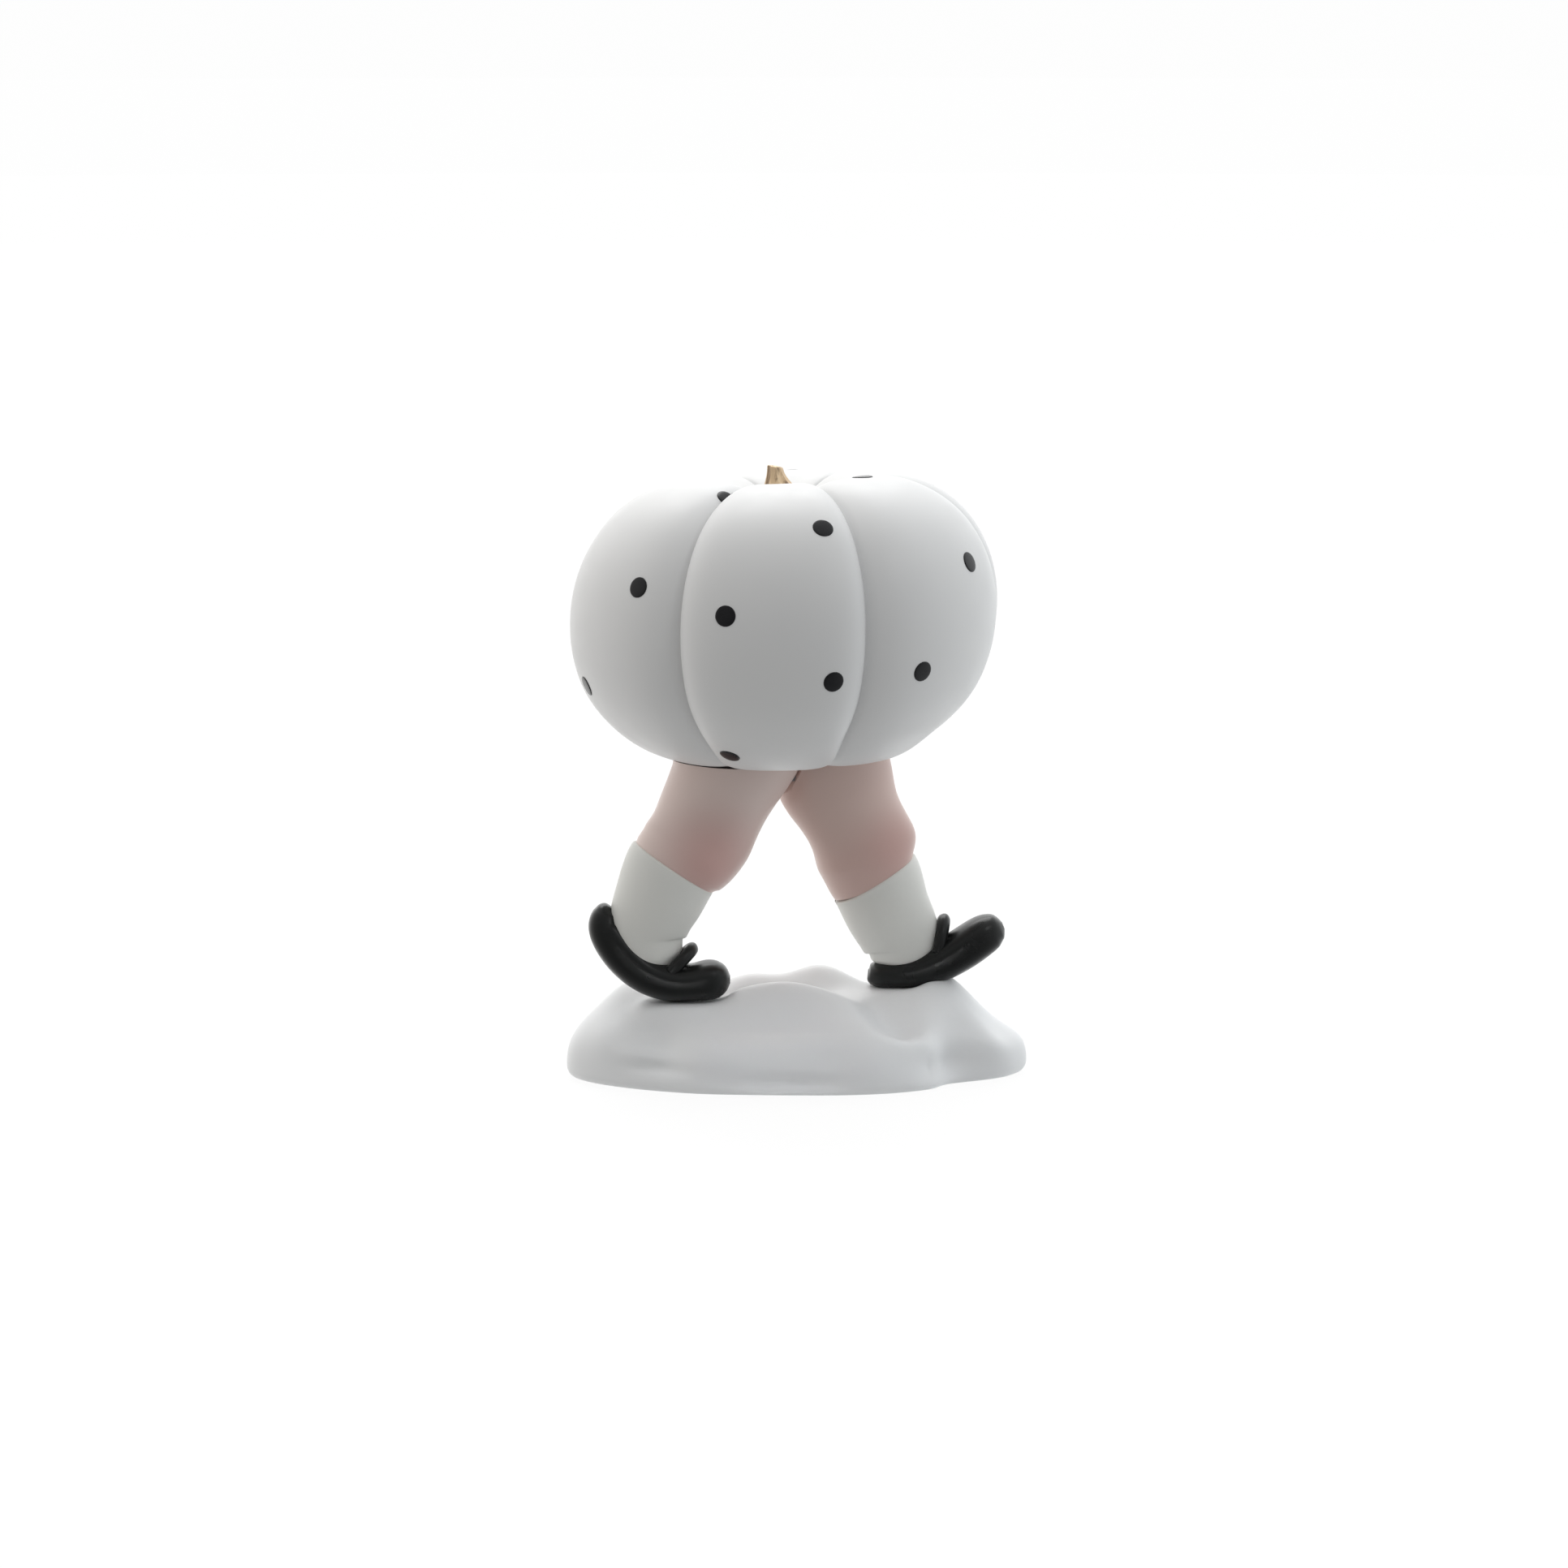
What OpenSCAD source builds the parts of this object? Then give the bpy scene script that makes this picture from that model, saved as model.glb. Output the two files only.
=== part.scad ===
// Collectible vinyl toy: a dotted pumpkin that turns on a pair of striding legs,
// standing on a snow mound. X is the walking direction, the viewer's side is -Y,
// and the origin is the centre of the footprint on the ground.

/* [Pumpkin] */
// Largest radius of the pumpkin over its lobes
pumpkin_r = 70.3; // [66:0.1:72]
// Height of the pumpkin's centre above the ground
pumpkin_z = 151.8; // [151:0.1:156]
// Wall of the rotocast shell
shell_wall = 3.2; // [2.4:0.2:4]
// Depth of the seams between the lobes, as a share of the radius
crease_depth = 0.07; // [0.03:0.005:0.1]
// How far the front lobe stands proud, as a share of the radius
front_proud = 0.02; // [0:0.005:0.03]
// Diameter of each black dot
dot_d = 6.6; // [5:0.2:8]
// Thickness of each black dot
dot_t = 1.2; // [0.8:0.2:1.6]
// Diameter of the stem's tip
stem_d = 5; // [4:0.2:6]
// Height of the stem's tip above the ground
stem_z = 200.3; // [198:0.1:204]

/* [Swivel] */
// Diameter of the post that the pumpkin turns on
post_d = 18; // [14:1:20]
// Running clearance round the post, on the radius
post_gap = 0.06; // [0.02:0.01:0.1]
// Height of the legs' flat top under the pumpkin
hip_z = 104.8; // [104.4:0.1:104.9]
// Diameter of the armature rods
rod_d = 4; // [3:0.5:5]

/* [Base] */
// Overall length of the snow mound
base_l = 150; // [148:1:152]
// Overall depth of the snow mound
base_w = 75; // [74:1:78]
// Width of the wall round the hollow mound, inside the ledge for the plate
base_wall = 6; // [5:0.5:7]
// How far the foam pad stands below the mound's rim
pad_proud = 0.5; // [0.3:0.1:0.8]

/* [Hidden] */
$fn = 48;

vinyl_white = [0.86, 0.87, 0.88];
flesh = [0.80, 0.66, 0.63];
black = [0.10, 0.10, 0.11];
gold = [0.72, 0.58, 0.36];
steel = [0.70, 0.71, 0.73];
plastic_grey = [0.55, 0.56, 0.58];

// ---- curves and lofts ----

// Point t (0 to 1) of the way from station i to the next one on a smooth curve through p
function spline(p, i, t) =
    let (
        a = p[max(i - 1, 0)],
        b = p[i],
        c = p[min(i + 1, len(p) - 1)],
        d = p[min(i + 2, len(p) - 1)]
    )
    0.5 * (2 * b + (c - a) * t + (2 * a - 5 * b + 4 * c - d) * t * t
        + (3 * b - a - 3 * c + d) * t * t * t);

// The same curve through a closed list of values
function loop_spline(p, x) =
    let (
        n = len(p),
        i = floor(x),
        t = x - i,
        a = p[(i + n - 1) % n],
        b = p[i % n],
        c = p[(i + 1) % n],
        d = p[(i + 2) % n]
    )
    0.5 * (2 * b + (c - a) * t + (2 * a - 5 * b + 4 * c - d) * t * t
        + (3 * b - a - 3 * c + d) * t * t * t);

function smooth(p, steps) =
    concat(
        [for (i = [0:len(p) - 2]) for (k = [0:steps - 1]) spline(p, i, k / steps)],
        [p[len(p) - 1]]
    );

function unit(a) = a / norm(a);
function place(s) = [s[0], s[1], s[2]];

function tangent(p, i) =
    unit(place(p[min(i + 1, len(p) - 1)]) - place(p[max(i - 1, 0)]));

// Ring of n points round a station [x, y, z, half thickness, half width], square to the path
function ring(p, i, n, squareness = 2) =
    let (
        t = tangent(p, i),
        up = unit(cross(t, [0, 1, 0])),
        side = cross(t, up)
    )
    [for (k = [0:n - 1])
        let (a = 360 * k / n, e = 2 / squareness)
        place(p[i])
            + p[i][3] * sign(cos(a)) * pow(abs(cos(a)), e) * up
            + p[i][4] * sign(sin(a)) * pow(abs(sin(a)), e) * side];

function loft_faces(rings, n) =
    concat(
        [[for (k = [0:n - 1]) k]],
        [for (i = [0:rings - 2]) for (k = [0:n - 1])
            let (a = i * n + k, b = i * n + (k + 1) % n)
            [a, a + n, b]],
        [for (i = [0:rings - 2]) for (k = [0:n - 1])
            let (a = i * n + k, b = i * n + (k + 1) % n)
            [b, a + n, b + n]],
        [[for (k = [n - 1:-1:0]) (rings - 1) * n + k]]
    );

module loft(stations, n = 28, steps = 3, squareness = 2) {
    path = smooth(stations, steps);
    points = [for (i = [0:len(path) - 1]) each ring(path, i, n, squareness)];
    polyhedron(points = points, faces = loft_faces(len(path), n), convexity = 6);
}

// Straight round bar between two points
module bar(a, b, d) {
    v = b - a;
    translate(a)
        rotate([0, acos(v[2] / norm(v)), atan2(v[1], v[0])])
            cylinder(h = norm(v), d = d);
}

// ---- pumpkin surface ----

pumpkin_c = [-4.2, 0.7, pumpkin_z];
// Seams between the lobes, as azimuths from the front, positive towards +X
seams = [-92, -30.5, 23.5, 88, 146, 207, 268];
front_lobe = 1;
// Distance from the centre to the lobes' crest every 10 degrees of elevation, bottom to top
crest = [43.3, 44.8, 47.6, 52.0, 57.2, 61.5, 65.0, 67.8, 69.2, 69.7,
    69.6, 68.5, 66.2, 62.3, 57.2, 50.8, 42.6, 35.8, 34.2];
crest_max = 69.7;

function crest_at(el) =
    let (
        x = (el + 90) / 10,
        i = min(floor(x), 17),
        t = x - i,
        a = crest[abs(i - 1)],
        b = crest[i],
        c = crest[i + 1],
        d = crest[i + 2 > 18 ? 36 - i - 2 : i + 2]
    )
    pumpkin_r / crest_max * 0.5 * (2 * b + (c - a) * t + (2 * a - 5 * b + 4 * c - d) * t * t
        + (3 * b - a - 3 * c + d) * t * t * t);

function lobe_of(az) = max([for (k = [0:5]) az >= seams[k] ? k : 0]);

// How much higher or lower the crown of each lobe is than the average
crown = [0.03, -0.015, 0.015, -0.015, -0.04, -0.03];

function lobe_gain(k, u, el) =
    1 - crease_depth * pow(abs(u), 5)
        + (k == front_lobe ? front_proud * (1 - pow(u, 8)) : 0)
        + crown[k] * (1 - pow(u, 4)) * pow(max(sin(el), 0), 3);

// The right shoulder is a little fuller than the left
function lean(az, el) = 1 + 0.03 * sin(az) * sin(2 * el);

function skin_point(k, u, el, inset = 0) =
    let (
        az = seams[k] + (u + 1) / 2 * (seams[k + 1] - seams[k]),
        r = lobe_gain(k, u, el) * lean(az, el) * crest_at(el) - inset
    )
    pumpkin_c + r * [cos(el) * sin(az), -cos(el) * cos(az), sin(el)];

function skin_at(az, el) =
    let (k = lobe_of(az))
    skin_point(k, 2 * (az - seams[k]) / (seams[k + 1] - seams[k]) - 1, el);

function skin_normal(az, el) =
    unit(cross(skin_at(az + 1, el) - skin_at(az - 1, el), skin_at(az, el + 1) - skin_at(az, el - 1)));

// Closed pumpkin form with cols facets in each lobe and rows from pole to pole
module pumpkin_form(cols, rows, inset = 0) {
    n = 6 * cols;
    body = [for (j = [1:rows - 1]) for (k = [0:5]) for (m = [0:cols - 1])
        skin_point(k, sin(180 * m / cols - 90), -90 + 180 * j / rows, inset)];
    bottom = pumpkin_c - [0, 0, crest_at(-90) - inset];
    top = pumpkin_c + [0, 0, crest_at(90) - inset];
    last = (rows - 2) * n;
    bottom_i = len(body);
    top_i = bottom_i + 1;
    faces = concat(
        [for (m = [0:n - 1]) [bottom_i, m, (m + 1) % n]],
        [for (j = [0:rows - 3]) for (m = [0:n - 1])
            [j * n + m, j * n + n + m, j * n + (m + 1) % n]],
        [for (j = [0:rows - 3]) for (m = [0:n - 1])
            [j * n + (m + 1) % n, j * n + n + m, j * n + n + (m + 1) % n]],
        [for (m = [0:n - 1]) [top_i, last + (m + 1) % n, last + m]]
    );
    polyhedron(points = concat(body, [bottom, top]), faces = faces, convexity = 6);
}

// Dots as [azimuth from the front, elevation] seen from the pumpkin's centre
dots = [
    [12, 30], [-15, 6], [-43, 12], [13, -11], [40, -10], [61, 17], [-71, -17], [-20, -38],
    [-31, 49], [57, 57], [100, -22], [112, 30], [128, 4], [158, -14], [170, 28], [190, 2],
    [222, -20], [236, 22], [252, -2], [176, 46]
];
dot_sink = 0.9;

module dot_at(d, h, thick) {
    p = skin_at(d[0], d[1]);
    v = skin_normal(d[0], d[1]);
    bar(p - dot_sink * v, p + (thick - dot_sink) * v, h);
}

// ---- heights at the swivel ----

pumpkin_axis = [pumpkin_c[0], pumpkin_c[1], 0];
neck_z = hip_z + 4.2;
neck_t = 5;
bush_r = 15;
bush_flange_r = 20;
bush_flange_t = 2.5;
shoulder_r = 14;
washer_t = 0.9;
bush_top = neck_z + neck_t + bush_flange_t;
cap_z = bush_top + 0.3;
cap_t = 1.6;
screw_r = 1.9;
stem_hole_r = 4;

module pumpkin_shell() {
    color(vinyl_white)
    difference() {
        pumpkin_form(10, 36);
        difference() {
            pumpkin_form(6, 18, shell_wall);
            translate(pumpkin_axis) cylinder(h = neck_z + neck_t, r = bush_flange_r + 3);
        }
        translate(pumpkin_axis) cylinder(h = neck_z, r = bush_flange_r + 1);
        translate(pumpkin_axis) cylinder(h = pumpkin_z, r = bush_r);
        translate(pumpkin_axis + [0, 0, pumpkin_z]) cylinder(h = 60, r = stem_hole_r);
        translate(pumpkin_axis) stem_form();
        for (d = dots) dot_at(d, dot_d, 3);
    }
}

module dot_inlays() {
    color(black)
    for (d = dots) dot_at(d, dot_d, dot_t);
}

stem_foot_z = pumpkin_z + crest_at(90) - 1.5;

// Outside of the stem: it leans to the left and flares into the crown
module stem_form() {
    hull() {
        translate([-0.4, 0, stem_foot_z + 0.5]) cylinder(h = 1, d = stem_d * 2.5, $fn = 32);
        translate([-1.6, 0, stem_foot_z + 9]) cylinder(h = 0.5, d = stem_d * 2, $fn = 32);
    }
    hull() {
        translate([-1.6, 0, stem_foot_z + 9]) cylinder(h = 0.5, d = stem_d * 2, $fn = 32);
        translate([-2.6, 0, stem_foot_z + 12.5]) cylinder(h = 0.3, d = stem_d * 1.2, $fn = 32);
    }
    hull() {
        translate([-2.6, 0, stem_foot_z + 12.5]) cylinder(h = 0.3, d = stem_d * 1.2, $fn = 32);
        translate([-2.8, 0, stem_z - 0.8]) rotate([0, -6, 0]) cylinder(h = 0.5, d = stem_d, $fn = 32);
    }
}

module stem() {
    color(gold)
    translate(pumpkin_axis) {
        translate([0, 0, stem_foot_z - 7]) cylinder(h = 8, r = stem_hole_r);
        stem_form();
    }
}

module neck_bushing() {
    color(plastic_grey)
    translate(pumpkin_axis)
        difference() {
            union() {
                translate([0, 0, neck_z]) cylinder(h = neck_t, r = bush_r);
                translate([0, 0, neck_z + neck_t]) cylinder(h = bush_flange_t, r = bush_flange_r);
            }
            translate([0, 0, neck_z - 1]) cylinder(h = 20, r = post_d / 2 + post_gap);
        }
}

// ---- legs ----
// Stations of each loft are [x, y, z, half thickness, half width]

trailing_y = -11;
leading_y = 13;
trailing_leg_path = [
    [-13.0, -5, 118, 20.5, 20.5], [-18.0, -6, 108, 20, 20], [-22.3, -7, 99, 18.8, 18.8],
    [-27.5, -8, 89.5, 17.2, 17.2], [-32.0, -9, 82, 16.4, 16.6], [-35.8, -9.8, 76.4, 16.7, 16.8],
    [-38.4, -10.3, 73.0, 15.8, 15.8], [-39.8, -10.5, 70.9, 14.6, 14.6]
];
leading_leg_path = [
    [4.5, 6, 118, 20.5, 20.5], [8.3, 6.5, 108, 20, 20], [11.5, 7.5, 98, 18.8, 18.8],
    [15.3, 9, 88, 17.2, 17.2], [19.4, 10.5, 79, 16.4, 16.6], [22.0, 11.3, 72.4, 16.2, 16.6],
    [23.9, 11.8, 66.6, 15.0, 15.2], [25.2, 12, 63.8, 14.4, 14.4]
];
trailing_sock_path = [
    [-39.8, -10.5, 71, 15.2, 15.2], [-41.2, -10.6, 68.7, 15.2, 15.2], [-44, -10.8, 62.4, 14.6, 14.4],
    [-47.1, trailing_y, 55.2, 13.4, 12.4], [-48.6, trailing_y, 48.5, 12.4, 9.8],
    [-47.2, trailing_y, 42, 10.4, 8.2], [-46.2, trailing_y, 38.5, 7, 6]
];
leading_sock_path = [
    [25.2, 12, 63.9, 15.1, 15.1], [26.3, 12.1, 61.9, 15, 15], [29.2, 12.4, 54.2, 14.2, 13.8],
    [32.6, 12.8, 47.4, 13.4, 11.8], [34.6, leading_y, 42.2, 12.6, 9.4], [34.8, leading_y, 37.6, 10.6, 7.8],
    [34.8, leading_y, 35.6, 8.6, 6.4]
];
hip_r = 9;
hip_depth = 6;
tenon_r = 7;
tenon_l = 9;

trailing_rod_top = [-8, -2.2, hip_z - 2];
trailing_rod_foot = [-46.5, trailing_y, 38];
leading_rod_top = [0.5, 3.4, hip_z - 2];
leading_rod_foot = [34, leading_y, 35.5];

// Everything on the far side of the crease plane between the two thighs
module leading_side() {
    translate([-5.5, 0, 91])
        rotate([0, 12, 22])
            translate([0, -100, -100])
                cube([120, 200, 200]);
}

module hip_recess() {
    translate(pumpkin_axis + [0, 0, hip_z - hip_depth]) cylinder(h = 30, r = hip_r);
}

module above_hip() {
    translate([-100, -100, hip_z]) cube([200, 200, 30]);
}

// Round tenon that plugs into a sock, along the first stretch of the sock's path
module tenon(path, r) {
    a = place(path[0]);
    b = place(path[1]);
    bar(a + unit(a - b) * 2, a + unit(b - a) * tenon_l, 2 * r);
}

module trailing_leg() {
    color(flesh)
    difference() {
        union() {
            loft(trailing_leg_path);
            tenon(trailing_sock_path, tenon_r);
        }
        leading_side();
        above_hip();
        hip_recess();
        bar(trailing_rod_top, trailing_rod_foot, rod_d);
    }
}

module leading_leg() {
    color(flesh)
    difference() {
        union() {
            intersection() {
                loft(leading_leg_path);
                leading_side();
            }
            tenon(leading_sock_path, tenon_r);
        }
        above_hip();
        hip_recess();
        bar(leading_rod_top, leading_rod_foot, rod_d);
    }
}

module hip_block() {
    post_top = cap_z;
    color(plastic_grey)
    difference() {
        translate(pumpkin_axis) {
            translate([0, 0, hip_z - hip_depth]) cylinder(h = hip_depth, r = hip_r);
            translate([0, 0, hip_z]) cylinder(h = neck_z - 0.1 - washer_t - hip_z, r = shoulder_r);
            translate([0, 0, hip_z]) cylinder(h = post_top - hip_z, r = post_d / 2);
        }
        translate(pumpkin_axis + [0, 0, cap_z - 14]) cylinder(h = 20, r = screw_r);
        bar(trailing_rod_top, trailing_rod_foot, rod_d);
        bar(leading_rod_top, leading_rod_foot, rod_d);
    }
}

module ring_washer(z, outer, inner, t) {
    translate(pumpkin_axis + [0, 0, z])
        difference() {
            cylinder(h = t, r = outer);
            translate([0, 0, -1]) cylinder(h = t + 2, r = inner);
        }
}

module friction_washer() {
    color(black)
    ring_washer(neck_z - 0.1 - washer_t, shoulder_r, post_d / 2, washer_t);
}

module retaining_washer() {
    color(steel)
    ring_washer(cap_z, post_d / 2 + 4, screw_r, cap_t);
}

// Pan-head screw with a crossed slot, pointing down from the underside of its head
module pan_screw(p, head_r, head_h, r, length) {
    translate(p)
        difference() {
            union() {
                cylinder(h = head_h, r = head_r);
                translate([0, 0, -length]) cylinder(h = length, r = r);
            }
            for (a = [0, 90])
                rotate([0, 0, a])
                    translate([-head_r * 0.6, -0.4, head_h - 1]) cube([head_r * 1.2, 0.8, 2]);
        }
}

module retaining_screw() {
    color(steel)
    pan_screw(pumpkin_axis + [0, 0, cap_z + cap_t], 4, 2.4, screw_r, 13);
}

module trailing_leg_rod() {
    color(steel)
    bar(trailing_rod_top, trailing_rod_foot, rod_d);
}

module leading_leg_rod() {
    color(steel)
    bar(leading_rod_top, leading_rod_foot, rod_d);
}

module trailing_sock() {
    color(vinyl_white)
    difference() {
        loft(trailing_sock_path);
        loft(trailing_leg_path);
        tenon(trailing_sock_path, tenon_r);
        bar(trailing_rod_top, trailing_rod_foot, rod_d);
    }
}

module leading_sock() {
    color(vinyl_white)
    difference() {
        loft(leading_sock_path);
        loft(leading_leg_path);
        tenon(leading_sock_path, tenon_r);
        bar(leading_rod_top, leading_rod_foot, rod_d);
    }
}

// ---- shoes ----

// Stations along each foot as [x, z, half thickness, half width]
function foot_path(stations, y) = [for (q = stations) [q[0], y, q[1], q[2], q[3]]];

trailing_shoe_path = foot_path([
    [-60.2, 58.4, 1.4, 2.2], [-61.3, 56.8, 3.9, 5.3], [-62, 52.6, 5.4, 7.5],
    [-59.5, 47.4, 6.2, 8.8], [-54.6, 41.4, 6.5, 9.4], [-48.3, 36.6, 6.4, 9.7],
    [-41.2, 34, 6.1, 9.8], [-34.5, 33.8, 5.7, 9.5], [-28.4, 34.5, 6.3, 8.8],
    [-25, 34.6, 5.5, 7.4], [-22.8, 34.6, 3.7, 4.8], [-21.6, 34.6, 1.2, 1.6]
], trailing_y);
leading_shoe_path = foot_path([
    [23.2, 32.4, 1.4, 2.2], [24.2, 32.3, 3.2, 5.2], [27.2, 32.4, 4.2, 7.8],
    [33, 32.8, 4.6, 9.2], [40, 33.9, 5.4, 9.8], [47, 36.5, 6.2, 10],
    [54, 40.6, 6.6, 9.8], [60.2, 44.8, 6.4, 8.8], [63.8, 46.8, 5.6, 7.2],
    [66.2, 47.8, 3.8, 4.8], [67.4, 48.3, 1.2, 1.6]
], leading_y);
trailing_sole_z = 27.8;
leading_sole_z = 28.6;
shoe_screw_r = 1.5;
trailing_screw_xy = [-36, trailing_y];
leading_screw_xy = [33, leading_y];

module screw_hole(xy, low, high, r) {
    translate([xy[0], xy[1], low]) cylinder(h = high - low, r = r);
}

module trailing_shoe() {
    color(black)
    difference() {
        loft(trailing_shoe_path, squareness = 2.7);
        loft(trailing_sock_path);
        bar(trailing_rod_top, trailing_rod_foot, rod_d);
        screw_hole(trailing_screw_xy, 20, 36, shoe_screw_r);
    }
}

module leading_shoe() {
    color(black)
    difference() {
        loft(leading_shoe_path, squareness = 2.7);
        loft(leading_sock_path);
        bar(leading_rod_top, leading_rod_foot, rod_d);
        screw_hole(leading_screw_xy, 20, 35, shoe_screw_r);
    }
}

// Strap over the instep: an arch from one side of the collar to the other
function strap_path(root, tip, half) = [
    for (a = [0:15:180])
        let (s = sin(a))
        [root[0] + (tip[0] - root[0]) * s, root[1] - half * cos(a),
            root[2] + (tip[1] - root[2]) * s, 2.1, 2.1]
];

// Ring of a strap, square to a path that lies mostly across the foot
function strap_ring(p, i, n) =
    let (
        t = tangent(p, i),
        a = unit(cross(t, [0.4, 0, -1])),
        b = cross(t, a)
    )
    [for (k = [0:n - 1]) place(p[i]) + p[i][3] * cos(360 * k / n) * a + p[i][4] * sin(360 * k / n) * b];

module strap(path) {
    n = 12;
    points = [for (i = [0:len(path) - 1]) each strap_ring(path, i, n)];
    polyhedron(points = points, faces = loft_faces(len(path), n), convexity = 4);
}

module trailing_strap() {
    color(black)
    difference() {
        strap(strap_path([-40.7, trailing_y, 38], [-34, 44.6], 7));
        loft(trailing_sock_path);
        loft(trailing_shoe_path, squareness = 2.7);
    }
}

module leading_strap() {
    color(black)
    difference() {
        strap(strap_path([46, leading_y, 40.5], [48, 50.2], 7));
        loft(leading_sock_path);
        loft(leading_shoe_path, squareness = 2.7);
    }
}

// ---- snow mound ----

// Reach of the footprint from its centre every 15 degrees round from +X, as shares of the ellipse
base_reach = [0.94, 1.10, 1.04, 1.00, 0.98, 1.00, 1.02, 1.04, 1.02, 0.98, 1.00, 1.04,
    1.00, 0.96, 0.96, 0.97, 0.95, 0.94, 0.94, 0.95, 0.96, 0.94, 0.88, 0.78];
reach_step = 15;
base_c = [0, 1];

function footprint(a) =
    let (
        e = 1 / norm([cos(a) / (base_l / 2), sin(a) / (base_w / 2)])
    )
    e * loop_spline(base_reach, (a % 360) / reach_step);

function bell(x, y, cx, cy, sx, sy) = exp(-pow((x - cx) / sx, 2) - pow((y - cy) / sy, 2));

// Height of the snow away from its edges
function snow(x, y) =
    26.5
        + 8.0 * bell(x, y, -5, -13, 22, 8)
        + 8.5 * bell(x, y, 8, 21, 13, 12)
        + 5.5 * bell(x, y, -16, 21, 12, 11)
        + 9.0 * bell(x, y, 45, 14, 14, 18)
        + 7.0 * bell(x, y, -52, 12, 16, 14)
        + 3.0 * bell(x, y, -40, -14, 18, 10)
        + 2.5 * bell(x, y, -57, 4, 7, 10)
        - 6.0 * bell(x, y, -14, 0, 14, 7)
        - 10.0 * bell(x, y, 32, -15, 10, 10)
        - 5.0 * bell(x, y, 67, 6, 9, 16);

// Flat treads under the shoes, as [x, y, height, half length, half width]
treads = [
    [-36.5, trailing_y, 27.8, 15, 11],
    [33.5, leading_y, 29.5, 11, 12]
];
function tread_share(t, x, y) = exp(-pow(norm([(x - t[0]) / t[3], (y - t[1]) / t[4]]), 6));

// The mound's edge falls away from full height at the middle to the rim at share 1
edge_low = 0.15;
function edge_fall(share) = pow(max(1 - pow(share, 4), 0), 0.4);

function mound_z(x, y, share) =
    let (
        z = edge_low * 27 + (snow(x, y) - edge_low * 27) * edge_fall(share),
        a = tread_share(treads[0], x, y),
        b = tread_share(treads[1], x, y)
    )
    z * (1 - a) * (1 - b) + treads[0][2] * a + treads[1][2] * b;

// Point at azimuth a and share s: below the rim for s up to 0.1, then over the top to the middle
rim_s = 0.1;
function mound_point(a, s) =
    let (
        under = s < rim_s,
        t = under ? s / rim_s : (s - rim_s) / (1 - rim_s),
        share = under ? 0.965 + 0.035 * sin(90 * t) : cos(90 * t),
        r = footprint(a) * share,
        x = base_c[0] + r * cos(a),
        y = base_c[1] + r * sin(a)
    )
    [x, y, under
        ? pad_proud + (edge_low * 27 - pad_proud) * (1 - cos(90 * t))
        : mound_z(x, y, share)];

module mound(cols, rows) {
    rings = [for (j = [0:rows - 1]) for (m = [0:cols - 1])
        mound_point(360 * m / cols, j / rows)];
    last = (rows - 1) * cols;
    top_i = len(rings);
    faces = concat(
        [[for (m = [0:cols - 1]) m]],
        [for (j = [0:rows - 2]) for (m = [0:cols - 1])
            [j * cols + m, (j + 1) * cols + m, j * cols + (m + 1) % cols]],
        [for (j = [0:rows - 2]) for (m = [0:cols - 1])
            [j * cols + (m + 1) % cols, (j + 1) * cols + m, (j + 1) * cols + (m + 1) % cols]],
        [for (m = [0:cols - 1]) [top_i, last + (m + 1) % cols, last + m]]
    );
    polyhedron(points = concat(rings, [mound_point(0, 1)]), faces = faces, convexity = 8);
}

plate_z = 1;
plate_t = 2;
plate_inset = 4.5;
boss_xy = [[-56, -4], [-46, 18], [54, 8], [40, 26], [4, -22]];
boss_r = 3.5;
plate_screw_r = 1.25;
ceiling_z = 9;
shoe_screw_l = 26;
head_r = 3;
head_h = 2;
washer_r = 4.5;
washer_h = 0.8;

shoe_screws_xy = [trailing_screw_xy, leading_screw_xy];

// Flat outline of the footprint, drawn in by inset
module footprint_outline(inset) {
    polygon([for (a = [0:5:355])
        let (r = footprint(a) * 0.965 - inset)
        [base_c[0] + r * cos(a), base_c[1] + r * sin(a)]]);
}

module base_hollow() {
    translate([0, 0, -1]) linear_extrude(plate_z + plate_t + 1) footprint_outline(plate_inset - 0.5);
    linear_extrude(ceiling_z) footprint_outline(base_wall);
}

module base_shell() {
    color(vinyl_white)
    difference() {
        mound(72, 24);
        loft(trailing_shoe_path, squareness = 2.7);
        loft(leading_shoe_path, squareness = 2.7);
        difference() {
            base_hollow();
            for (p = boss_xy)
                translate([p[0], p[1], plate_z + plate_t]) cylinder(h = ceiling_z, r = boss_r);
        }
        for (p = boss_xy)
            translate([p[0], p[1], 0]) cylinder(h = 11, r = plate_screw_r);
        for (p = shoe_screws_xy)
            translate([p[0], p[1], ceiling_z - 1]) cylinder(h = 30, r = shoe_screw_r + 0.2);
    }
}

module shoe_screws() {
    color(steel)
    for (p = shoe_screws_xy)
        translate([p[0], p[1], ceiling_z - washer_h])
            mirror([0, 0, 1])
                pan_screw([0, 0, 0], head_r, head_h, shoe_screw_r, shoe_screw_l);
}

module screw_washers() {
    color(steel)
    for (p = shoe_screws_xy)
        translate([p[0], p[1], ceiling_z - washer_h])
            difference() {
                cylinder(h = washer_h, r = washer_r);
                translate([0, 0, -1]) cylinder(h = 4, r = shoe_screw_r);
            }
}

module base_plate() {
    color(plastic_grey)
    difference() {
        translate([0, 0, plate_z]) linear_extrude(plate_t) footprint_outline(plate_inset);
        for (p = boss_xy)
            translate([p[0], p[1], 0]) {
                cylinder(h = 5, r = plate_screw_r);
                cylinder(h = plate_z + 1.2, r = 2.6);
            }
    }
}

module plate_screws() {
    color(steel)
    for (p = boss_xy)
        translate([p[0], p[1], plate_z]) {
            cylinder(h = 1.2, r = 2.6);
            cylinder(h = 9, r = plate_screw_r);
        }
}

module base_pad() {
    color(black)
    linear_extrude(plate_z) footprint_outline(plate_inset + 1);
}

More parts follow.
